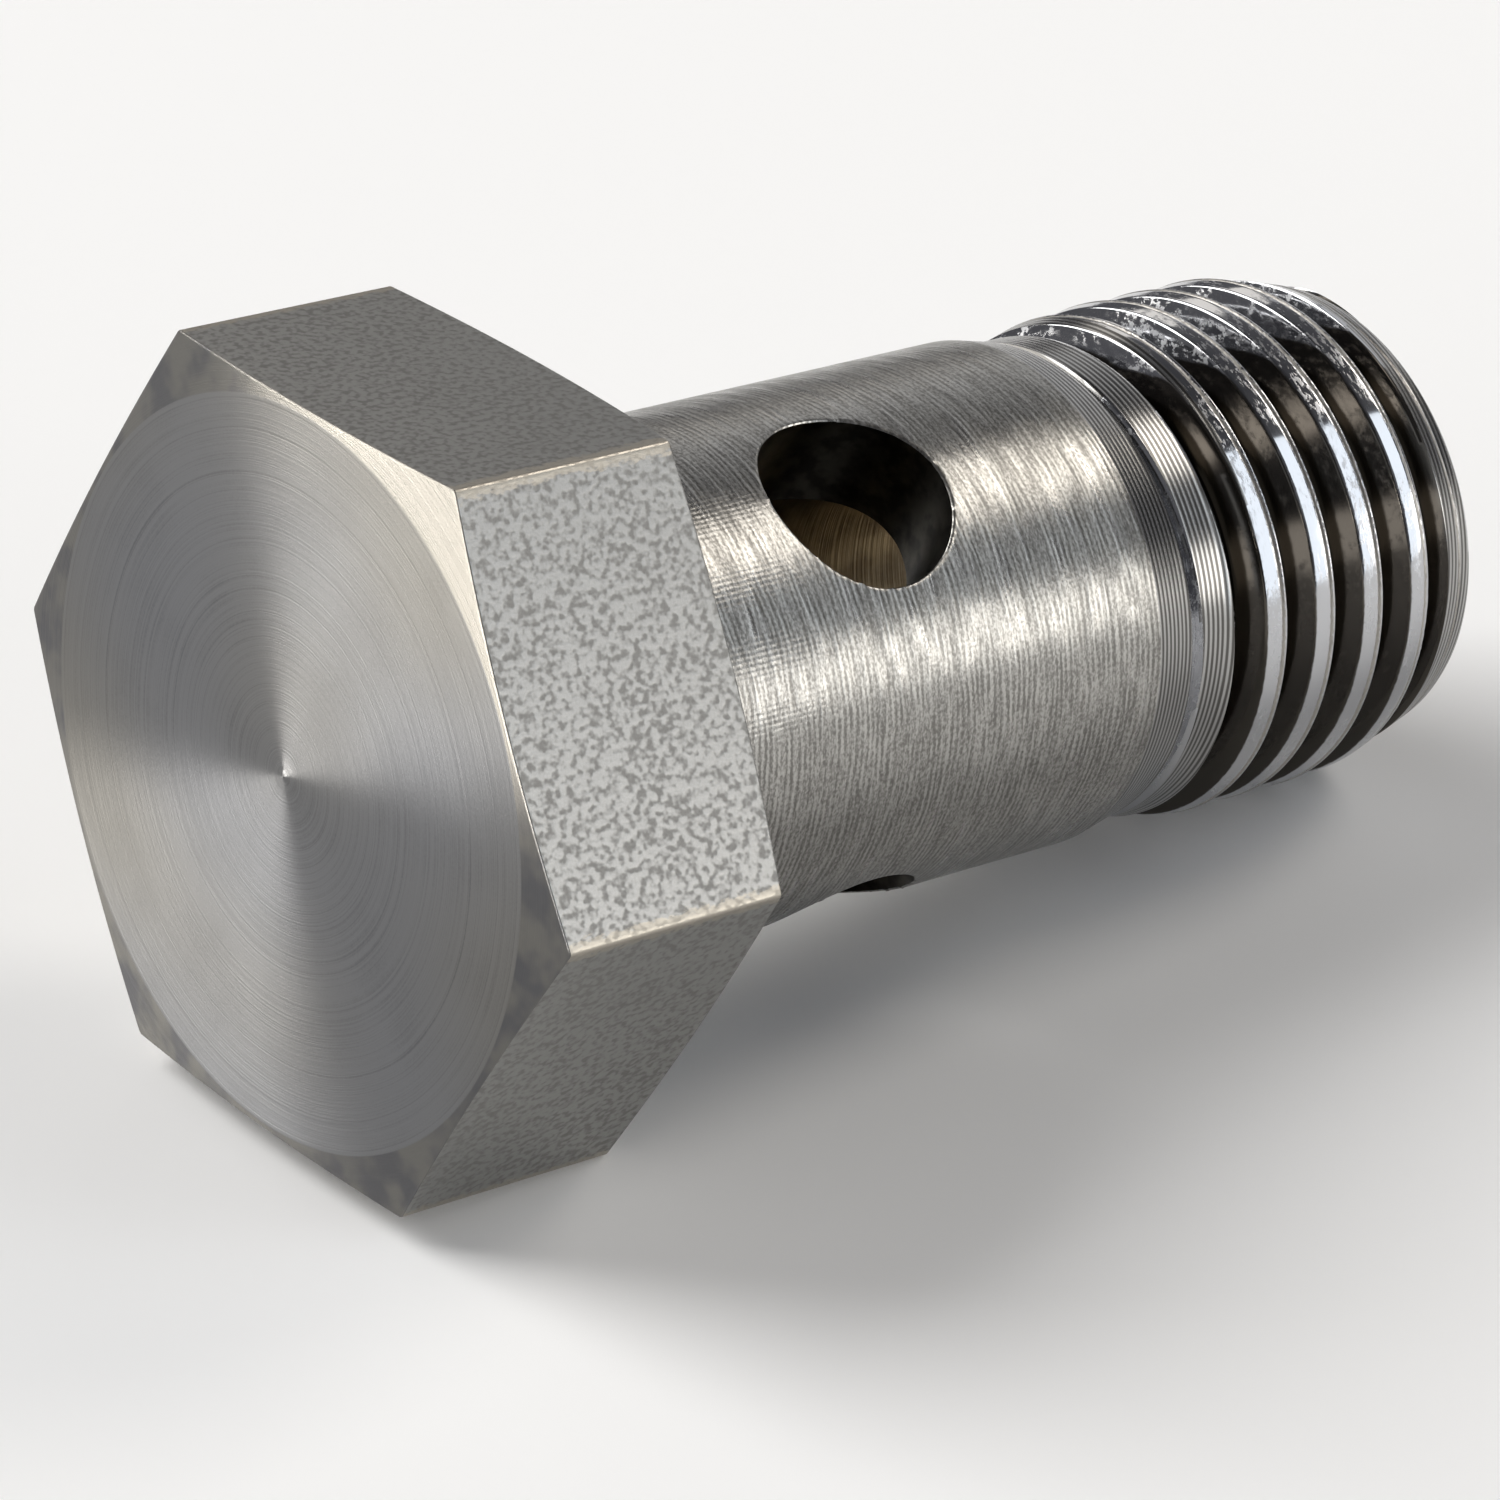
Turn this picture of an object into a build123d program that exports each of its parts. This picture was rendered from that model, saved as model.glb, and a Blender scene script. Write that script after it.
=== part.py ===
from build123d import *
import os
from math import atan, ceil, cos, degrees, radians, tan

# A banjo bolt, lying on one flat of its hexagon. The bolt's axis is X, its thread points to +X
# and the origin is on the axis, in the plane of the bearing face under the head.

# Hexagon head
across_flats = 16.8
head_height = 6.0
face_diameter = 16.5
face_chamfer_angle = 8.0
bearing_diameter = 16.5
bearing_chamfer_angle = 9.0

# Shank, measured from the bearing face
length_under_head = 24.0
shank_diameter = 11.8
shank_length = 13.8
shank_corner_radius = 0.25

# Neck between the shank and the thread
neck_diameter = 11.3
neck_taper_length = 1.2
neck_length = 2.2

# Thread, M12 x 1.5, right-hand
thread_diameter = 12.0
thread_pitch = 1.5
thread_angle = 60.0
thread_lead_in = 1.5
first_groove_position = 16.4
run_out_turns = 2
run_out_lift = 0.5
end_chamfer_length = 2.2
end_chamfer_angle = 15.0

# Passages
bore_diameter = 6.9
bore_mouth_chamfer = 0.4
drill_point_angle = 118.0
port_diameter = 4.6
port_count = 3
port_position = 6.9
port_to_bore_end = 1.0

# Sizes that follow from those above
corner_radius = across_flats / 2 / cos(radians(30))
face_chamfer_depth = (corner_radius - face_diameter / 2) * tan(radians(face_chamfer_angle))
bearing_chamfer_depth = (corner_radius - bearing_diameter / 2) * tan(radians(bearing_chamfer_angle))
neck_end = shank_length + neck_length
thread_height = thread_pitch / 2 / tan(radians(thread_angle / 2))
thread_depth = thread_height * 17 / 24
thread_root_radius = thread_diameter / 2 - thread_depth
thread_root_width = thread_pitch / 4
groove_overcut = thread_height / 4
run_out_angle = degrees(atan(run_out_lift / thread_pitch))
thread_turns = ceil((length_under_head - first_groove_position) / thread_pitch)
blank_end = first_groove_position + thread_turns * thread_pitch + thread_pitch / 4
end_chamfer_depth = end_chamfer_length * tan(radians(end_chamfer_angle))
bore_end = port_position - port_diameter / 2 - port_to_bore_end
bore_point_depth = bore_diameter / 2 / tan(radians(drill_point_angle / 2))

with BuildPart() as banjo_bolt:
    # Hexagon bar, one flat down
    with BuildSketch(Plane.YZ.offset(-head_height)):
        RegularPolygon(radius=across_flats / 2, side_count=6, major_radius=False)
    extrude(amount=head_height)

    # Both ends of the head are turned to a shallow cone that takes off the corners
    with BuildSketch(Plane.XZ):
        with BuildLine():
            Polyline(
                (-head_height, 0),
                (-head_height, face_diameter / 2),
                (-head_height + face_chamfer_depth, corner_radius),
                (-bearing_chamfer_depth, corner_radius),
                (0, bearing_diameter / 2),
                (0, 0),
                close=True,
            )
        make_face()
    revolve(axis=Axis.X, mode=Mode.INTERSECT)

    # Shank, tapered neck and the blank for the thread, turned in one and longer than the bolt
    with BuildSketch(Plane.XZ):
        with BuildLine():
            Polyline(
                (0, 0),
                (0, shank_diameter / 2),
                (shank_length, shank_diameter / 2),
                (shank_length + neck_taper_length, neck_diameter / 2),
                (neck_end, neck_diameter / 2),
                (neck_end + thread_lead_in, thread_diameter / 2),
                (blank_end, thread_diameter / 2),
                (blank_end, 0),
                close=True,
            )
        make_face()
    revolve(axis=Axis.X)

    # Corner radius between the shank and the bearing face
    shank_root = banjo_bolt.edges().filter_by(GeomType.CIRCLE).filter_by(
        lambda edge: abs(edge.center().X) < 0.01 and abs(edge.radius - shank_diameter / 2) < 0.01
    )
    fillet(shank_root, radius=shank_corner_radius)

# The thread's groove at full depth, and the turns over which it runs out on the neck
with BuildLine() as full_groove_path:
    Helix(
        pitch=thread_pitch,
        height=blank_end - first_groove_position + thread_pitch,
        radius=thread_root_radius,
        center=(first_groove_position, 0, 0),
        direction=(1, 0, 0),
    )
with BuildLine() as run_out_path:
    Helix(
        pitch=thread_pitch / cos(radians(run_out_angle)),
        height=run_out_turns * thread_pitch,
        radius=thread_root_radius + run_out_turns * run_out_lift,
        center=(first_groove_position - run_out_turns * thread_pitch, 0, 0),
        direction=(1, 0, 0),
        cone_angle=-run_out_angle,
    )


def cut_groove(path):
    start = path @ 0
    groove_width = thread_root_width + 2 * (thread_depth + groove_overcut) * tan(radians(thread_angle / 2))
    with BuildPart() as groove:
        with BuildSketch(Plane(origin=start, x_dir=(0, start.Y, start.Z), z_dir=path % 0)):
            with BuildLine():
                Polyline(
                    (0, -thread_root_width / 2),
                    (thread_depth + groove_overcut, -groove_width / 2),
                    (thread_depth + groove_overcut, groove_width / 2),
                    (0, thread_root_width / 2),
                    close=True,
                )
            make_face()
        sweep(path=path, is_frenet=True)
    return groove.part


with banjo_bolt:
    add(cut_groove(full_groove_path.line), mode=Mode.SUBTRACT)
    add(cut_groove(run_out_path.line), mode=Mode.SUBTRACT)

    # The blank is cut off to length, with a long shallow chamfer over the last turns of the thread
    with BuildSketch(Plane.XZ):
        with BuildLine():
            Polyline(
                (length_under_head - end_chamfer_length, thread_diameter / 2),
                (length_under_head - end_chamfer_length, shank_diameter),
                (blank_end + thread_pitch, shank_diameter),
                (blank_end + thread_pitch, 0),
                (length_under_head, 0),
                (length_under_head, thread_diameter / 2 - end_chamfer_depth),
                close=True,
            )
        make_face()
    revolve(axis=Axis.X, mode=Mode.SUBTRACT)

    # Blind bore from the threaded end, with its chamfered mouth and drill point
    with BuildSketch(Plane.XZ):
        with BuildLine():
            Polyline(
                (bore_end - bore_point_depth, 0),
                (bore_end, bore_diameter / 2),
                (length_under_head - bore_mouth_chamfer, bore_diameter / 2),
                (length_under_head, bore_diameter / 2 + bore_mouth_chamfer),
                (length_under_head, 0),
                close=True,
            )
        make_face()
    revolve(axis=Axis.X, mode=Mode.SUBTRACT)

    # Cross-drilled ports from the shank into the bore, the first in line with a corner of the head
    with BuildSketch(Plane.XY) as port:
        with Locations((port_position, 0)):
            Circle(port_diameter / 2)
    for turn in range(port_count):
        extrude(
            port.sketch.rotate(Axis.X, 30 + turn * 360 / port_count),
            amount=shank_diameter,
            mode=Mode.SUBTRACT,
        )

banjo_bolt.part.label = "banjo_bolt"
os.makedirs("parts", exist_ok=True)
export_step(banjo_bolt.part, "parts/banjo_bolt.step")
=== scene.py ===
from math import atan2, cos, pi, radians, sin, sqrt, tan

import bmesh
import bpy
import numpy as np
from mathutils import Matrix, Quaternion, Vector


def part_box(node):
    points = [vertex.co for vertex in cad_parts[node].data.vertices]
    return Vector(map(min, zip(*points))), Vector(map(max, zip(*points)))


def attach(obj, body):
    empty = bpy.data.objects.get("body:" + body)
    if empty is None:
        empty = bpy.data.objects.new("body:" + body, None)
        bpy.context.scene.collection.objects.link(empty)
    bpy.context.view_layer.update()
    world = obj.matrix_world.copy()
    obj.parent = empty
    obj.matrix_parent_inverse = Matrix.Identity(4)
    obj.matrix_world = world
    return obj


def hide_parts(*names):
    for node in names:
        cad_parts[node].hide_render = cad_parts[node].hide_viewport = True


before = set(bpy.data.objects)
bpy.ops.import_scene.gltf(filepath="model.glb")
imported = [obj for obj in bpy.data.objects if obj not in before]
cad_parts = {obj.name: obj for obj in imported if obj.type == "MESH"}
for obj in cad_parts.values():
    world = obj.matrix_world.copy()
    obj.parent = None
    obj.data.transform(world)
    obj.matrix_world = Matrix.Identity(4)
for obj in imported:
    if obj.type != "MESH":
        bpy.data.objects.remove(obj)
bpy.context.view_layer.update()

# The bolt's axis is X and its thread points to +X. The origin is on the axis, under the head.
MM = 0.001
cad_low, cad_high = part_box("banjo_bolt")

# Head
across_flats = cad_high.z - cad_low.z
corner_radius = cad_high.y
face_x = cad_low.x
face_radius = 8.25 * MM
face_chamfer_slope = tan(radians(8))
bearing_radius = 8.25 * MM
bearing_chamfer_slope = tan(radians(9))
corner_rounding = 0.13 * MM
rim_rounding = 0.03 * MM
rim_middle_x = 0.25 * rim_rounding
rim_middle_in = 0.3 * rim_rounding
face_dish = 0.05 * MM
nub_radius = 0.16 * MM
nub_sink = 0.3 * face_dish
# The corner toward which the face's cone carries a painted highlight
highlight_corner = radians(120)

# Shank and neck
end_x = cad_high.x
shank_radius = 5.9 * MM
shank_end = 13.8 * MM
shank_corner = 0.25 * MM
neck_radius = 5.65 * MM
neck_taper_end = 15.0 * MM
neck_end = 16.0 * MM

# Thread
thread_radius = 6.0 * MM
pitch = 1.5 * MM
thread_full_x = 17.5 * MM
first_groove_x = 16.4 * MM
first_groove_angle = radians(90)
run_out_lift = 0.5 * MM
# The side of the bolt where the thread carries painted shade further up its flanks
painted_shade_side = radians(200)
sharp_root = thread_radius - pitch * sqrt(3) / 2 * 7 / 8
root_rounding = pitch * sqrt(3) / 12
crest_softness = 0.02 * MM
land_width = 0.42 * MM
land_slope = tan(radians(12))
land_flank_slope = tan(radians(69))
land_edge_softness = 0.012 * MM
seam_depth = 0.03 * MM
seam_width = 0.035 * MM
seam_start_turn = 0.2
seam_fade_turns = 0.3
end_chamfer = 2.2 * MM
end_chamfer_slope = tan(radians(15))

# The turned rings of the blank show on the crests before and after the full thread
ridge_end_x = 17.0 * MM
last_rings_x = 22.9 * MM
blank_margin = 0.012 * MM

# Passages
bore_radius = 3.45 * MM
bore_end_x = 3.6 * MM
bore_tip_x = 1.53 * MM
mouth_chamfer = 0.4 * MM
port_radius = 2.3 * MM
port_x = 6.9 * MM
port_angles = [0, 2 * pi / 3, 4 * pi / 3]
port_patch_low = 2.9 * MM
port_patch_high = 10.9 * MM

# Rings round a port: distance out from its wall, level on the cylinder, and how far a burr lifts them
shank_rim = [
    (0, -0.045 * MM, 0.03 * MM),
    (0.03 * MM, -0.012 * MM, 0.045 * MM),
    (0.07 * MM, 0, 0.012 * MM),
    (0.13 * MM, 0, 0),
    (0.22 * MM, 0, 0),
    (0.35 * MM, 0, 0),
]
bore_rim = [
    (0, 0, 0),
    (0.05 * MM, 0, 0),
    (0.12 * MM, 0, 0),
]
burr_waves = range(9, 60)
burr_threshold = 0.25
burr_seed = 11

# Mesh density. The head's mesh meets the barrel's between two radii on the bearing face.
head_mesh_radius = 7.4 * MM
barrel_mesh_radius = 6.8 * MM
columns = 192
patch_rows = 48
patch_rings = 12
patch_crowding = 1.3
nub_steps = (0.4, 0.7, 1)
face_steps = (0.05, 0.1, 0.16, 0.23, 0.31, 0.4, 0.5, 0.6, 0.7, 0.8, 0.9, 0.995, 1)
cone_steps = (0.06, 0.5)
wall_steps = (0, 0.03, 0.1, 0.2, 0.35, 0.5, 0.65, 0.8, 0.92, 1)
point_steps = (0, 0.25, 0.5, 0.75, 0.93, 1)
row_steps = [
    np.linspace(0, 0.17, 6, endpoint=False),
    np.linspace(0.17, 0.23, 6, endpoint=False),
    np.linspace(0.23, 0.43, 5, endpoint=False),
    np.linspace(0.43, 0.57, 13, endpoint=False),
    np.linspace(0.57, 1, 10, endpoint=False),
]
row_margin = 0.05 * pitch
flat_segments = 22
flat_row_segments = 13
corner_segments = 5
shank_corner_segments = 4
shank_segments = 5
bore_segments = 11
holding_step = 0.005
merge_distance = 0.0012 * MM
shortest_edge = 0.0001 * MM
sharp_angle = radians(38)

# Material regions, in the order of the object's material slots
FACE, FLAT, SHANK, NECK, THREAD, PORT, BORE = range(7)


class Skin:
    """Collects patches of vertices and faces, each with its material region."""

    def __init__(self):
        self.points = []
        self.faces = []
        self.regions = []
        self.count = 0

    def add(self, points, faces, region):
        self.points.append(points)
        self.faces.extend([tuple(i + self.count for i in face) for face in faces])
        self.regions.extend([region] * len(faces))
        self.count += len(points)

    def add_grid(self, grid, region, closed=True, flip=False):
        """Quads over grid[row, column]. A closed grid joins its last column to its first."""
        rows, cols = grid.shape[:2]
        faces = []
        for i in range(rows - 1):
            for j in range(cols if closed else cols - 1):
                k = (j + 1) % cols
                face = (i * cols + j, (i + 1) * cols + j, (i + 1) * cols + k, i * cols + k)
                faces.append(face[::-1] if flip else face)
        self.add(grid.reshape(-1, 3), faces, region)

    def add_zip(self, outer, inner, region):
        """Triangles between two rings with different numbers of points, both in order of angle."""
        count_o, count_i = len(outer), len(inner)
        angle_o = np.unwrap(np.arctan2(outer[:, 2], outer[:, 1]))
        angle_i = np.unwrap(np.arctan2(inner[:, 2], inner[:, 1]))
        start = np.argmin(np.abs(np.angle(np.exp(1j * (angle_i - angle_o[0])))))
        angle_i = np.append(angle_i[start:], angle_i[:start] + 2 * pi)
        angle_i += 2 * pi * round((angle_o[0] - angle_i[0]) / (2 * pi))
        angle_o = np.append(angle_o, angle_o[0] + 2 * pi)
        angle_i = np.append(angle_i, angle_i[0] + 2 * pi)
        faces, a, b = [], 0, 0
        while a < count_o or b < count_i:
            this_o = a % count_o
            this_i = count_o + (start + b) % count_i
            if b >= count_i or (a < count_o and angle_o[a + 1] < angle_i[b + 1]):
                faces.append((this_o, this_i, (a + 1) % count_o))
                a += 1
            else:
                faces.append((this_o, this_i, count_o + (start + b + 1) % count_i))
                b += 1
        self.add(np.vstack([outer, inner]), faces, region)


def ring(x, radius, angles):
    """Points round the axis. x and radius are numbers, or one value per angle."""
    x = np.broadcast_to(x, angles.shape)
    radius = np.broadcast_to(radius, angles.shape)
    return np.stack([x, radius * np.cos(angles), radius * np.sin(angles)], axis=1)


barrel_angles = np.arange(columns) * 2 * pi / columns


def lathe(profile):
    return np.stack([ring(x, radius, barrel_angles) for x, radius in profile])


def cylinder(radius, low, high, segments):
    return lathe([(x, radius) for x in np.linspace(low, high, segments + 1)])


def held_steps(segments):
    """Shares of a length between even segments, and one close to each end that holds the shading."""
    return np.concatenate([[holding_step], np.linspace(0, 1, segments + 1)[1:-1], [1 - holding_step]])


def hexagon_outline():
    """Points round the hexagon with its six corners slightly rounded, in order of angle."""
    points = []
    half = across_flats / 2
    centre_radius = (half - corner_rounding) / cos(pi / 6)
    steps = held_steps(flat_segments)
    for corner in range(6):
        at = corner * pi / 3
        centre = centre_radius * np.array([cos(at), sin(at)])
        for i in range(corner_segments + 1):
            turn = at - pi / 6 + pi / 3 * i / corner_segments
            points.append(centre + corner_rounding * np.array([cos(turn), sin(turn)]))
        following = at + pi / 3
        start = points[-1]
        normal = at + pi / 6
        end = centre_radius * np.array([cos(following), sin(following)])
        end = end + corner_rounding * np.array([cos(normal), sin(normal)])
        points += [start + (end - start) * step for step in steps]
    points = np.array(points)
    order = np.argsort(np.arctan2(points[:, 1], points[:, 0]))
    return points[order]


def build_head(skin):
    outline = hexagon_outline()
    angles = np.arctan2(outline[:, 1], outline[:, 0])
    reach = np.hypot(outline[:, 0], outline[:, 1])

    # Turned face, very slightly dished, with the nub that parting off leaves in the middle
    profile = [(face_x + nub_sink, 0)]
    for t in nub_steps:
        profile.append((face_x + nub_sink + (face_dish - nub_sink) * t ** 2, nub_radius * t))
    for t in face_steps:
        profile.append((face_x + face_dish * (1 - t ** 2), nub_radius + (face_radius - nub_radius) * t))
    rows = [ring(x, radius, angles) for x, radius in profile]

    # Cone out to the flats, the rounded rim, and the same on the bearing side
    front_edge = face_x + (reach - face_radius) * face_chamfer_slope
    back_edge = -(reach - bearing_radius) * bearing_chamfer_slope
    inner = reach - rim_rounding
    for t in cone_steps:
        cone_x = face_x + (front_edge - face_x) * t
        rows.append(ring(cone_x, face_radius + (reach - face_radius) * t, angles))
    rows.append(ring(front_edge - 2 * rim_rounding * face_chamfer_slope, inner - rim_rounding, angles))
    rows.append(ring(front_edge - rim_rounding * face_chamfer_slope, inner, angles))
    rows.append(ring(front_edge + rim_middle_x, reach - rim_middle_in, angles))
    rows.append(ring(front_edge + rim_rounding, reach, angles))
    face_rows = len(rows)
    flat_length = back_edge - front_edge - 2 * rim_rounding
    for t in held_steps(flat_row_segments):
        rows.append(ring(front_edge + rim_rounding + flat_length * t, reach, angles))
    rows.append(ring(back_edge - rim_rounding, reach, angles))
    rows.append(ring(back_edge - rim_middle_x, reach - rim_middle_in, angles))
    flat_rows = len(rows)
    rows.append(ring(back_edge + rim_rounding * bearing_chamfer_slope, inner, angles))
    rows.append(ring(0, bearing_radius, angles))
    rows.append(ring(0, head_mesh_radius, angles))
    rows = np.stack(rows)
    skin.add_grid(rows[:face_rows], FACE, flip=True)
    skin.add_grid(rows[face_rows - 1:flat_rows + 1], FLAT, flip=True)
    skin.add_grid(rows[flat_rows:], FACE, flip=True)

    # Bearing face in to the shank's corner radius
    bearing = lathe([(0, barrel_mesh_radius), (0, shank_radius + shank_corner)])
    skin.add_zip(rows[-1], bearing[0], FACE)
    skin.add_grid(bearing, FACE, flip=True)
    corner = []
    for turn in np.linspace(0, pi / 2, shank_corner_segments + 1):
        corner.append((shank_corner * (1 - cos(turn)), shank_radius + shank_corner * (1 - sin(turn))))
    skin.add_grid(lathe(corner), SHANK, flip=True)


def patch_border(low, high):
    """Points round one port's third of a cylinder, as (x, angle from the port's axis)."""
    third = columns // 3
    x_steps = np.linspace(low, high, patch_rows + 1)
    a_steps = np.linspace(-pi / 3, pi / 3, third + 1)
    border = [(x, a_steps[0]) for x in x_steps[:-1]]
    border += [(high, a) for a in a_steps[:-1]]
    border += [(x, a_steps[-1]) for x in x_steps[:0:-1]]
    border += [(low, a) for a in a_steps[:0:-1]]
    return np.array(border)


border_count = 2 * (patch_rows + columns // 3)
first_port_turn = -pi / 2 - pi * patch_rows / border_count
port_turns = first_port_turn + np.arange(border_count) * 2 * pi / border_count


def port_ring(reach, height):
    """Ring of points round a port's axis at distance reach, on the cylinder of radius height."""
    along = reach * np.cos(port_turns)
    side = reach * np.sin(port_turns)
    return np.stack([port_x + along, side, np.sqrt(height ** 2 - side ** 2)], axis=1)


def turned(points, angle):
    """Turns points from a port on the +Z side to the port at angle."""
    c, s = cos(angle - pi / 2), sin(angle - pi / 2)
    y = -points[..., 1]
    z = points[..., 2]
    return np.stack([points[..., 0], c * y - s * z, s * y + c * z], axis=-1)


def smooth_noise(count, waves, seed):
    """A closed random wave round a ring, between about -1 and 1."""
    random = np.random.default_rng(seed)
    turn = np.arange(count) * 2 * pi / count
    total = np.zeros(count)
    for wave in waves:
        total += random.normal() * np.cos(wave * turn + random.uniform(0, 2 * pi))
    return total / np.abs(total).max()


def port_patch(radius, low, high, rim, burr):
    """Rings from a port's rim out to the border of its third of the cylinder."""
    rows = []
    for offset, level, burr_height in rim:
        rows.append(port_ring(port_radius + offset, radius + level + burr_height * burr))
    last = rows[-1]
    last_angle = np.arctan2(last[:, 1], last[:, 2])
    border = patch_border(low, high)
    for t in np.linspace(0, 1, patch_rings + 1)[1:]:
        blend = t ** patch_crowding
        x = last[:, 0] * (1 - blend) + border[:, 0] * blend
        a = last_angle * (1 - blend) + border[:, 1] * blend
        rows.append(np.stack([x, radius * np.sin(a), radius * np.cos(a)], axis=1))
    return np.stack(rows)


def build_port(skin, angle, seed):
    """A port with the third of the shank and of the bore that lies round it."""
    burr = np.maximum(0, smooth_noise(border_count, burr_waves, seed) - burr_threshold)
    outside = port_patch(shank_radius, port_patch_low, port_patch_high, shank_rim, burr)
    skin.add_grid(turned(outside, angle), SHANK, flip=True)
    depth = np.array(wall_steps)[:, None, None]
    wall = outside[:1] * (1 - depth) + port_ring(port_radius, bore_radius)[None] * depth
    skin.add_grid(turned(wall, angle), PORT)
    inside = port_patch(bore_radius, bore_end_x, port_patch_high, bore_rim, 0)
    skin.add_grid(turned(inside, angle), BORE)


def build_shank(skin):
    """Plain shank before and behind the ports."""
    for low, high in ((shank_corner, port_patch_low), (port_patch_high, shank_end)):
        skin.add_grid(cylinder(shank_radius, low, high, shank_segments), SHANK, flip=True)


def build_bore(skin):
    """Bore behind the ports, its mouth, and the drill's point in front of them."""
    bore = cylinder(bore_radius, port_patch_high, end_x - mouth_chamfer, bore_segments)
    skin.add_grid(bore, BORE)
    mouth = [(end_x - mouth_chamfer, bore_radius), (end_x, bore_radius + mouth_chamfer)]
    skin.add_grid(lathe(mouth), BORE)
    point = [(bore_end_x + (bore_tip_x - bore_end_x) * t, bore_radius * (1 - t)) for t in point_steps]
    skin.add_grid(lathe(point), BORE, flip=True)


def build_end_face(skin):
    """The threaded end's face, from the bore's mouth to the thread."""
    outer = thread_surface(np.full(columns, end_x), barrel_angles)
    skin.add_grid(lathe([(end_x, bore_radius + mouth_chamfer), (end_x, outer)]), FACE)


def blank_radius(x):
    """The turned blank that the thread is rolled on."""
    end_radius = thread_radius - end_chamfer * end_chamfer_slope
    stations = [shank_end, neck_taper_end, neck_end, thread_full_x, end_x - end_chamfer, end_x]
    radii = [shank_radius, neck_radius, neck_radius, thread_radius, thread_radius, end_radius]
    return np.interp(x, stations, radii)


def thread_turns(x, angle):
    """Turns along the thread's helix from its first groove. Whole numbers are groove centres."""
    return (x - first_groove_x) / pitch - (angle - first_groove_angle) / (2 * pi)


def soft_minimum(a, b, softness):
    return -softness * np.logaddexp(-a / softness, -b / softness)


def thread_surface(x, angle):
    """The rolled thread: 60 degree flanks on a round root that rises out of the neck. The rolls
    leave a wide, sloping land on the head side of each crest and a fine seam along its top."""
    turns = thread_turns(x, angle)
    index = np.round(turns)
    offset = (turns - index) * pitch
    away = np.abs(offset)
    from_crest = pitch / 2 - away
    root = sharp_root + 2 * root_rounding - np.sqrt(np.maximum(root_rounding ** 2 - away ** 2, 0))
    groove = np.where(away < root_rounding * cos(pi / 6), root, sharp_root + away * sqrt(3))
    land = thread_radius - from_crest * land_slope
    past_land = from_crest - land_width
    under_land = thread_radius - land_width * land_slope - past_land * land_flank_slope
    head_side = soft_minimum(land, np.maximum(np.minimum(root, groove), under_land), land_edge_softness)
    groove = np.where(offset > 0, head_side, groove)
    round_axis = (angle - first_groove_angle) / (2 * pi)
    groove = groove + run_out_lift * np.maximum(0, -index - round_axis)
    radius = soft_minimum(blank_radius(x), groove, crest_softness)
    seam = np.exp(-(from_crest / seam_width) ** 2)
    crest_place = np.floor(turns) + 0.5 + round_axis
    torn = np.clip((crest_place - seam_start_turn) / seam_fade_turns, 0, 1)
    return radius - seam_depth * seam * torn


def build_thread(skin):
    """Rows of this grid follow the thread, so that crests and roots lie along rows."""
    angles = np.arange(columns + 1) * 2 * pi / columns
    steps = np.concatenate(row_steps)
    base = first_groove_x - pitch * first_groove_angle / (2 * pi)
    first = int(np.floor((shank_end - base) / pitch)) - 1
    last = int(np.ceil((end_x - base) / pitch)) + 1
    row_x = np.concatenate([base + (number + steps) * pitch for number in range(first, last)])
    row_x = row_x[(row_x > shank_end - pitch - row_margin) & (row_x < end_x + row_margin)]
    x = row_x[:, None] + pitch * angles[None, :] / (2 * pi)
    x = np.clip(x, shank_end, end_x)
    spread = np.broadcast_to(angles, x.shape)
    radius = np.where(x <= shank_end, blank_radius(x), thread_surface(x, spread))
    grid = np.stack([x, radius * np.cos(spread), radius * np.sin(spread)], axis=-1)
    skin.add_grid(grid, THREAD, closed=False, flip=True)


def mark_neck(mesh):
    """The taper, and the ends of the thread where it isn't full, keep the rings of the turned blank."""
    for polygon in mesh.polygons:
        x, y, z = polygon.center
        on_blank = np.hypot(y, z) > blank_radius(x) - blank_margin
        rings = (on_blank and not ridge_end_x < x < last_rings_x) or x < neck_taper_end
        if polygon.material_index == THREAD and rings:
            polygon.material_index = NECK


def join_patches(mesh):
    joined = bmesh.new()
    joined.from_mesh(mesh)
    bmesh.ops.remove_doubles(joined, verts=joined.verts, dist=merge_distance)
    bmesh.ops.dissolve_degenerate(joined, dist=shortest_edge, edges=joined.edges)
    joined.to_mesh(mesh)
    joined.free()


def make_bolt():
    skin = Skin()
    build_head(skin)
    for number, angle in enumerate(port_angles):
        build_port(skin, angle, burr_seed + number)
    build_shank(skin)
    build_bore(skin)
    build_end_face(skin)
    build_thread(skin)
    mesh = bpy.data.meshes.new("bolt_body")
    mesh.from_pydata(np.vstack(skin.points).tolist(), [], skin.faces)
    mesh.polygons.foreach_set("material_index", np.array(skin.regions, dtype=np.int32))
    mark_neck(mesh)
    bolt = bpy.data.objects.new("bolt_body", mesh)
    bpy.context.scene.collection.objects.link(bolt)
    join_patches(mesh)
    mesh.shade_smooth()
    mesh.set_sharp_from_angle(angle=sharp_angle)
    return bolt


bolt = make_bolt()


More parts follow.
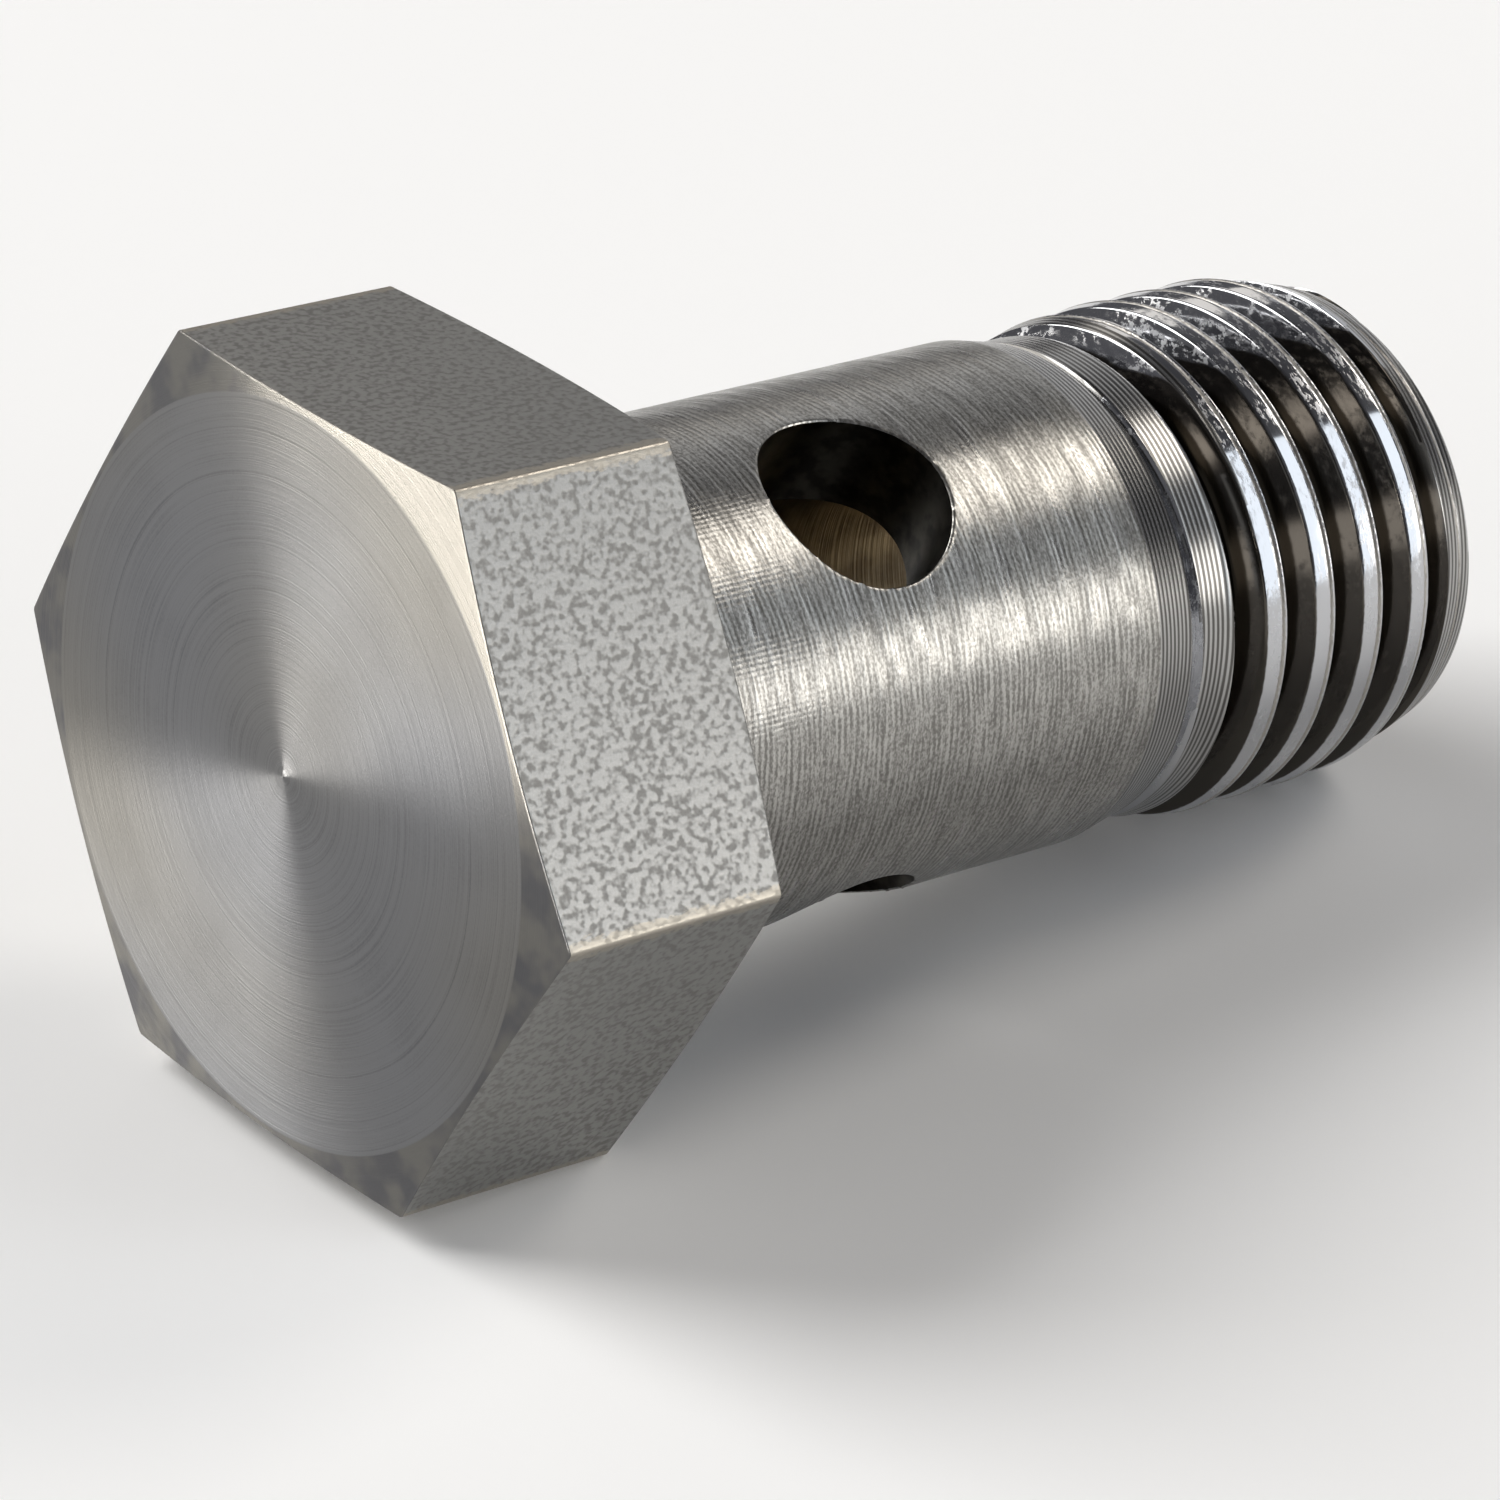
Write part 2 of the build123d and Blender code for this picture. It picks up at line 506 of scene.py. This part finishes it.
class Look:
    """A metal material and the nodes that drive it. Texture periods are in millimetres."""

    def __init__(self, name, roughness, anisotropic=0.0):
        self.material = bpy.data.materials.new(name)
        self.material.use_nodes = True
        self.nodes = self.material.node_tree.nodes
        self.links = self.material.node_tree.links
        self.shader = self.nodes["Principled BSDF"]
        self.shader.inputs["Metallic"].default_value = 1
        self.shader.inputs["Roughness"].default_value = roughness
        self.shader.inputs["Anisotropic"].default_value = anisotropic
        self.shader.inputs["Anisotropic Rotation"].default_value = 0.25
        if anisotropic:
            tangent = self.nodes.new("ShaderNodeTangent")
            tangent.direction_type = "RADIAL"
            tangent.axis = "X"
            self.links.new(tangent.outputs["Tangent"], self.shader.inputs["Tangent"])
        coordinate = self.nodes.new("ShaderNodeTexCoord")
        self.position = self.vector("SCALE", coordinate.outputs["Object"], scale=1 / MM)
        split = self.nodes.new("ShaderNodeSeparateXYZ")
        self.links.new(self.position, split.inputs[0])
        self.x, self.y, self.z = split.outputs
        self.radius = self.vector("LENGTH", self.vector("MULTIPLY", self.position, (0, 1, 1)))
        self.angle = self.math("ARCTAN2", self.z, self.y)

    def plug(self, value, socket):
        if isinstance(value, bpy.types.NodeSocket):
            self.links.new(value, socket)
        else:
            socket.default_value = value

    def vector(self, operation, a, b=None, scale=None):
        node = self.nodes.new("ShaderNodeVectorMath")
        node.operation = operation
        self.plug(a, node.inputs[0])
        if b is not None:
            self.plug(b, node.inputs[1])
        if scale is not None:
            node.inputs["Scale"].default_value = scale
        return node.outputs["Value" if operation == "LENGTH" else "Vector"]

    def math(self, operation, a, b=0.0, c=0.0):
        node = self.nodes.new("ShaderNodeMath")
        node.operation = operation
        for value, socket in zip((a, b, c), node.inputs):
            self.plug(value, socket)
        return node.outputs[0]

    def noise(self, periods, detail=2.0, roughness=0.5, shift=0.0):
        """Noise from 0 to 1 with its own period along X, Y and Z."""
        node = self.nodes.new("ShaderNodeTexNoise")
        node.inputs["Scale"].default_value = 1
        node.inputs["Detail"].default_value = detail
        node.inputs["Roughness"].default_value = roughness
        stretched = self.vector("MULTIPLY", self.position, tuple(1 / period for period in periods))
        self.links.new(self.vector("ADD", stretched, (shift, shift, shift)), node.inputs["Vector"])
        return node.outputs[0]

    def line_noise(self, value, period, detail=2.0, shift=0.0):
        """Noise from 0 to 1 along one value."""
        node = self.nodes.new("ShaderNodeTexNoise")
        node.noise_dimensions = "1D"
        node.inputs["Scale"].default_value = 1
        node.inputs["Detail"].default_value = detail
        self.links.new(self.math("MULTIPLY_ADD", value, 1 / period, shift), node.inputs["W"])
        return node.outputs[0]

    def wave(self, value, period, shift=0.0):
        turns = self.math("MULTIPLY_ADD", value, 2 * pi / period, shift)
        return self.math("SINE", turns)

    def ramp(self, value, low, high, from_value=0.0, to_value=1.0):
        """Maps value from low..high to from_value..to_value, held at both ends."""
        node = self.nodes.new("ShaderNodeMapRange")
        node.interpolation_type = "SMOOTHSTEP"
        self.plug(value, node.inputs[0])
        for number, socket in zip((low, high, from_value, to_value), node.inputs[1:5]):
            socket.default_value = number
        return node.outputs[0]

    def mix(self, value, low_colour, high_colour):
        """Blends two colours or colour outputs as value goes from 0 to 1."""
        node = self.nodes.new("ShaderNodeMix")
        node.data_type = "RGBA"
        self.links.new(value, node.inputs["Factor"])
        self.plug(low_colour, node.inputs["A"])
        self.plug(high_colour, node.inputs["B"])
        return node.outputs["Result"]

    def colours(self, value, low_colour, high_colour):
        return self.mix(value, (*low_colour, 1), (*high_colour, 1))

    def total(self, parts):
        """Adds up (value, weight) pairs."""
        result = self.math("MULTIPLY", *parts[0])
        for value, weight in parts[1:]:
            result = self.math("MULTIPLY_ADD", value, weight, result)
        return result

    def set(self, socket, value):
        self.plug(value, self.shader.inputs[socket])

    def bump(self, height, depth):
        """Relief of the given depth in millimetres where height runs from 0 to 1."""
        node = self.nodes.new("ShaderNodeBump")
        node.inputs["Strength"].default_value = 1
        node.inputs["Distance"].default_value = depth * MM
        self.links.new(height, node.inputs["Height"])
        self.links.new(node.outputs["Normal"], self.shader.inputs["Normal"])


def turned_face():
    """Facing cuts: fine rings round the axis, a little uneven in depth and tint."""
    look = Look("turned_face", 0.33, 0.9)
    drift = look.noise((2.5, 2.5, 2.5), detail=1.0)
    radius = look.math("MULTIPLY_ADD", drift, 0.06, look.radius)
    fine = look.line_noise(radius, 0.045, detail=1.0)
    broad = look.line_noise(radius, 0.13, detail=2.0, shift=40.0)
    arcs = look.ramp(look.noise((3.0, 2.2, 2.2), detail=1.0, shift=14.0), 0.3, 0.7, 0.65, 1.0)
    grain = look.noise((0.06, 0.06, 0.06), detail=2.0)
    rings = look.math("MULTIPLY", look.total([(fine, 0.9), (broad, 0.5)]), arcs)
    look.bump(look.total([(rings, 1.0), (grain, 0.3)]), 0.005)
    shade = look.ramp(look.total([(rings, 0.5), (broad, 0.25), (grain, 0.25)]), 0.2, 0.6)
    stain = look.ramp(look.noise((7.0, 7.0, 7.0), detail=0.0, shift=52.0), 0.2, 0.8)
    warm = look.colours(shade, (0.124, 0.119, 0.108), (0.182, 0.176, 0.162))
    cool = look.colours(shade, (0.115, 0.118, 0.126), (0.168, 0.172, 0.182))
    disc = look.mix(stain, cool, warm)

    # The cone round the face is filmed, with a painted highlight toward one corner in a paler,
    # bare-steel colour
    on_cone = look.ramp(look.radius, face_radius / MM, face_radius / MM + 0.03)
    toward_highlight = look.total([(look.y, cos(highlight_corner)), (look.z, sin(highlight_corner))])
    # bare is the mask of the painted highlight on the cone
    bare = look.ramp(look.math("DIVIDE", toward_highlight, look.radius), 0.6, 0.9)
    film = look.ramp(look.noise((0.9, 0.9, 0.9), detail=2.0), 0.35, 0.65)
    filmed = look.colours(film, (0.1, 0.1, 0.105), (0.15, 0.146, 0.136))
    cone = look.mix(bare, filmed, (0.21, 0.2, 0.18, 1))
    look.set("Base Color", look.mix(on_cone, disc, cone))
    look.set("Roughness", look.ramp(broad, 0.3, 0.7, 0.36, 0.3))
    return look.material


def bar_flat():
    """The bar's own skin: a matt ground with soft, duller pits, and a warmer, paler grey in a ragged
    band along each corner.
    """
    look = Look("bar_flat", 0.42)
    spots = look.noise((0.165, 0.15, 0.15), detail=1.0, roughness=0.4)
    clouds = look.noise((1.6, 1.6, 1.6), detail=2.0, shift=7.0)
    mixed = look.math("MULTIPLY_ADD", clouds, 0.15, spots)
    ground = look.ramp(mixed, 0.36, 0.7)
    grain = look.noise((0.06, 0.06, 0.06), detail=2.0, roughness=0.6, shift=21.0)
    shade = look.total([(ground, 0.6), (grain, 0.4)])
    bare = look.colours(shade, (0.2, 0.194, 0.182), (0.36, 0.36, 0.35))
    # A warmer, paler grey in a ragged band along each corner
    ragged = look.noise((0.25, 0.12, 0.12), detail=3.0, roughness=0.6, shift=33.0)
    from_corner = look.math("MULTIPLY", look.math("PINGPONG", look.angle, pi / 6), corner_radius / MM)
    edge = look.math("MULTIPLY_ADD", ragged, 0.5, from_corner)
    tone_band = look.ramp(edge, 0.38, 0.5, 1.0, 0.0)
    look.set("Base Color", look.mix(tone_band, bare, (0.4, 0.37, 0.32, 1)))
    look.set("Roughness", look.ramp(ground, 0.0, 1.0, 0.51, 0.35))
    look.bump(look.total([(ground, 0.5), (grain, 0.5), (ragged, 0.5)]), 0.004)
    return look.material


def turned_shank():
    """Feed rings crossed by slanting, uneven strokes, with a fine mesh of chatter near the head."""
    look = Look("turned_shank", 0.3, 0.65)
    drift = look.noise((0.8, 2.5, 2.5), detail=1.0, shift=3.0)
    along = look.math("MULTIPLY_ADD", drift, 0.3, look.x)
    rings = look.wave(along, 0.16)
    depth = look.noise((0.5, 0.9, 0.9), detail=1.0, shift=27.0)
    uneven = look.math("MULTIPLY", rings, look.ramp(depth, 0.35, 0.65, 0.15, 0.5))
    fingers = look.noise((0.3, 1.5, 1.5), detail=1.5, shift=11.0)
    strokes = look.noise((0.07, 0.7, 0.7), detail=2.0, roughness=0.6, shift=5.0)
    sparkle = look.noise((0.05, 0.08, 0.08), detail=1.0, shift=17.0)
    chatter = look.math("SINE", look.math("MULTIPLY", look.angle, 300.0))
    near_head = look.ramp(look.x, 2.5, 5.5, 0.13, 0.0)
    height = look.total([(uneven, 0.7), (fingers, 4.5), (strokes, 0.7), (sparkle, 0.5)])
    look.bump(look.math("MULTIPLY_ADD", chatter, near_head, height), 0.006)
    shade = look.total([(strokes, 0.35), (fingers, 0.2), (uneven, 0.2), (sparkle, 0.5)])
    shade = look.ramp(shade, 0.36, 0.7)
    look.set("Base Color", look.colours(shade, (0.19, 0.183, 0.17), (0.47, 0.46, 0.435)))
    look.set("Roughness", look.ramp(fingers, 0.3, 0.7, 0.36, 0.27))
    return look.material


def turned_neck():
    """Coarser feed rings down the taper of the neck."""
    look = Look("turned_neck", 0.25, 0.6)
    rings = look.wave(look.x, 0.145)
    strokes = look.noise((0.08, 1.5, 1.5), detail=2.0, shift=2.0)
    look.bump(look.total([(rings, 0.3), (strokes, 0.4)]), 0.006)
    shade = look.ramp(look.total([(rings, 0.5), (strokes, 0.6)]), -0.05, 0.7)
    look.set("Base Color", look.colours(shade, (0.11, 0.106, 0.1), (0.43, 0.425, 0.415)))
    return look.material


def rolled_thread():
    """Polished by the rolls. The crests are bright, the grooves keep a dark film that is partly residue
    and partly painted shade, and a torn seam runs along the top of each crest. On one side of the bolt
    the dark reaches up the flanks as painted shade."""
    look = Look("rolled_thread", 0.12)
    turns_at_origin = first_groove_angle / (2 * pi) - first_groove_x / pitch
    turns = look.math("MULTIPLY_ADD", look.x, MM / pitch, turns_at_origin)
    turns = look.math("MULTIPLY_ADD", look.angle, -1 / (2 * pi), turns)
    phase = look.math("FRACT", turns)
    from_crest = look.math("ABSOLUTE", look.math("SUBTRACT", phase, 0.5))
    torn = look.noise((0.05, 0.12, 0.12), detail=3.0, roughness=0.6)
    seam = look.ramp(look.math("MULTIPLY_ADD", torn, -0.07, from_crest), -0.02, 0.01, 1.0, 0.0)
    scuffs = look.noise((0.09, 0.25, 0.25), detail=3.0, roughness=0.7, shift=9.0)
    patches = look.ramp(look.noise((1.2, 1.5, 1.5), detail=1.0, shift=31.0), 0.34, 0.6)
    scuffed = look.math("MULTIPLY", look.ramp(scuffs, 0.47, 0.64), patches)
    lines = look.noise((0.05, 0.9, 0.9), detail=2.0, shift=13.0)
    # On one side of the bolt the painted shade reaches further up the flanks
    toward_shade_side = look.total([(look.y, cos(painted_shade_side)), (look.z, sin(painted_shade_side))])
    reach = look.ramp(look.math("DIVIDE", toward_shade_side, look.radius), -0.25, 0.1, -0.14, 0.0)
    tone_band = look.math("ADD", look.math("MULTIPLY_ADD", scuffs, 0.03, from_crest), reach)
    past_neck = look.ramp(look.x, neck_end / MM - 0.1, neck_end / MM + 0.1)
    film = look.math("MULTIPLY", look.ramp(tone_band, 0.277, 0.3), past_neck)
    specks = look.math("MULTIPLY", scuffed, look.math("SUBTRACT", 1.0, film))
    height = look.total([(specks, 0.15), (lines, 0.15), (look.math("MULTIPLY", torn, seam), 1.6)])
    look.bump(height, 0.006)
    metal = look.colours(seam, (0.52, 0.525, 0.54), (0.42, 0.4, 0.37))
    # The dark colour in the grooves is partly a residue film and partly painted shade
    look.set("Base Color", look.mix(film, metal, (0.082, 0.074, 0.064, 1)))
    rough = look.total([(seam, 0.3), (specks, 0.33), (film, 0.06)])
    look.set("Roughness", look.math("ADD", rough, 0.08))
    return look.material


def drilled_port():
    """Walls of the cross holes, dark partly from a film and partly from painted shade of the hole."""
    look = Look("drilled_port", 0.36)
    film = look.noise((0.5, 0.5, 0.5), detail=3.0)
    look.bump(film, 0.01)
    shade = look.ramp(film, 0.35, 0.65)
    # Near-black colours: partly a film, partly painted shade of the hole's walls
    look.set("Base Color", look.colours(shade, (0.02, 0.018, 0.015), (0.06, 0.055, 0.045)))
    return look.material


def drilled_bore():
    """Drilled walls: ring marks and a brownish film of cutting oil."""
    look = Look("drilled_bore", 0.3, 0.4)
    rings = look.line_noise(look.x, 0.1, detail=2.0)
    film = look.noise((0.8, 0.8, 0.8), detail=3.0)
    look.bump(look.total([(rings, 1.0), (film, 0.3)]), 0.012)
    shade = look.ramp(film, 0.35, 0.65)
    look.set("Base Color", look.colours(shade, (0.34, 0.29, 0.22), (0.5, 0.44, 0.34)))
    return look.material


looks = (turned_face, bar_flat, turned_shank, turned_neck, rolled_thread, drilled_port, drilled_bore)
for make_look in looks:
    bolt.data.materials.append(make_look())

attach(bolt, "root")
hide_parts("banjo_bolt")

# The bolt lies on the edge of one flat and on a crest of its thread, so the floor leans to its axis
floor_gap = 0.02 * MM
contact_turns = 4
head_drop = across_flats / 2
contact_x = first_groove_x + contact_turns * pitch
rest_tilt = atan2(head_drop - blank_radius(contact_x), contact_x)
floor_up = Vector((-sin(rest_tilt), 0, cos(rest_tilt)))
floor_along = Vector((cos(rest_tilt), 0, sin(rest_tilt)))
floor_point = Vector((0, 0, -head_drop))
floor_frame = Matrix((
    (floor_along.x, 0, floor_up.x, 0),
    (0, 1, 0, 0),
    (floor_along.z, 0, floor_up.z, 0),
    (0, 0, 0, 1),
))
floor_frame.translation = floor_point - floor_up * floor_gap


def make_floor():
    reach = 3.0
    corners = [(-reach, -reach, 0), (reach, -reach, 0), (reach, reach, 0), (-reach, reach, 0)]
    mesh = bpy.data.meshes.new("floor")
    mesh.from_pydata(corners, [], [(0, 1, 2, 3)])
    floor = bpy.data.objects.new("floor", mesh)
    bpy.context.scene.collection.objects.link(floor)
    floor.matrix_world = floor_frame
    material = bpy.data.materials.new("floor_paper")
    material.use_nodes = True
    shader = material.node_tree.nodes["Principled BSDF"]
    shader.inputs["Base Color"].default_value = (0.93, 0.93, 0.93, 1)
    shader.inputs["Roughness"].default_value = 0.9
    shader.inputs["Specular IOR Level"].default_value = 0.2
    floor.data.materials.append(material)


def direction(azimuth, elevation):
    """A direction over the floor. Azimuth 0 is the way the thread points and 90 is away to the back."""
    a, e = radians(azimuth), radians(elevation)
    return (floor_along * cos(a) + Vector((0, 1, 0)) * sin(a)) * cos(e) + floor_up * sin(e)


lamp_aim = Vector((8 * MM, 0, 0))


def add_lamp(name, azimuth, elevation, distance, width, height, brightness, colour, lean):
    """A soft box of the given brightness, facing the bolt and leaning by an angle in degrees."""
    lamp = bpy.data.lights.new(name, "AREA")
    lamp.shape = "RECTANGLE"
    lamp.size = width
    lamp.size_y = height
    lamp.energy = brightness * pi * width * height
    lamp.color = colour
    holder = bpy.data.objects.new(name, lamp)
    bpy.context.scene.collection.objects.link(holder)
    out = direction(azimuth, elevation)
    holder.rotation_mode = "QUATERNION"
    holder.rotation_quaternion = out.to_track_quat("Z", "Y") @ Quaternion((0, 0, 1), radians(-lean))
    holder.location = lamp_aim + out * distance


def make_world():
    """A dim room, brightest part way up its walls and darkest overhead."""
    world = bpy.data.worlds.new("studio")
    bpy.context.scene.world = world
    world.use_nodes = True
    nodes, links = world.node_tree.nodes, world.node_tree.links
    background = nodes["Background"]
    coordinate = nodes.new("ShaderNodeTexCoord")
    dot = nodes.new("ShaderNodeVectorMath")
    dot.operation = "DOT_PRODUCT"
    dot.inputs[1].default_value = floor_up
    links.new(coordinate.outputs["Generated"], dot.inputs[0])
    ramp = nodes.new("ShaderNodeValToRGB")
    stops = ramp.color_ramp.elements
    stops[0].position, stops[0].color = 0.0, (0.1, 0.1, 0.11, 1)
    stops[1].position, stops[1].color = 0.95, (0.05, 0.05, 0.055, 1)
    middle = stops.new(0.6)
    middle.color = (0.15, 0.15, 0.16, 1)
    links.new(dot.outputs["Value"], ramp.inputs["Fac"])
    links.new(ramp.outputs["Color"], background.inputs["Color"])
    background.inputs["Strength"].default_value = 1.0


# The camera of the photograph, in the bolt's frame
camera_place = Vector((-87.09, -106.46, 63.63)) * MM
camera_look = Vector((0.6009, 0.6793, -0.4212)).normalized()
camera_up = Vector((0.2072, 0.3766, 0.9029))
sensor_width = 36
lens_length = 167.8


def make_camera():
    camera = bpy.data.cameras.new("camera")
    camera.sensor_width = sensor_width
    camera.lens = lens_length
    camera.clip_start = 0.01
    camera.clip_end = 20
    holder = bpy.data.objects.new("camera", camera)
    bpy.context.scene.collection.objects.link(holder)
    right = camera_look.cross(camera_up).normalized()
    up = right.cross(camera_look)
    place = Matrix((right, up, -camera_look)).transposed().to_4x4()
    place.translation = camera_place
    holder.matrix_world = place
    bpy.context.scene.camera = holder


# Name, azimuth, elevation, distance, width, height, brightness, colour and lean of each lamp
lamps = [
    ("key", 122, 43, 1.4, 0.95, 0.95, 6.2, (1.0, 0.99, 0.97), 0),
    ("window", 160, 3, 1.0, 1.25, 0.13, 30.0, (1.0, 0.97, 0.92), 0),
    ("right_high", -13, 44, 0.6, 0.25, 0.19, 5.5, (1.0, 0.95, 0.88), 0),
    ("right_low", -50.5, 3.5, 0.6, 0.26, 0.29, 3.9, (1.0, 0.97, 0.92), 0),
    ("strip", -63.5, 24.5, 0.7, 0.24, 0.83, 1.7, (0.88, 0.94, 1.0), 19),
    ("patch", 54, 30, 0.7, 0.13, 0.23, 1.1, (1.0, 0.95, 0.88), 0),
    ("low_patch", 135.5, 9.5, 0.7, 0.12, 0.06, 1.1, (1.0, 0.95, 0.88), 0),
    ("fill", 29, 18, 1.2, 0.68, 0.75, 0.52, (0.98, 0.99, 1.0), 0),
]
make_floor()
make_world()
make_camera()
for lamp in lamps:
    add_lamp(*lamp)
bpy.context.scene.view_settings.view_transform = "Standard"
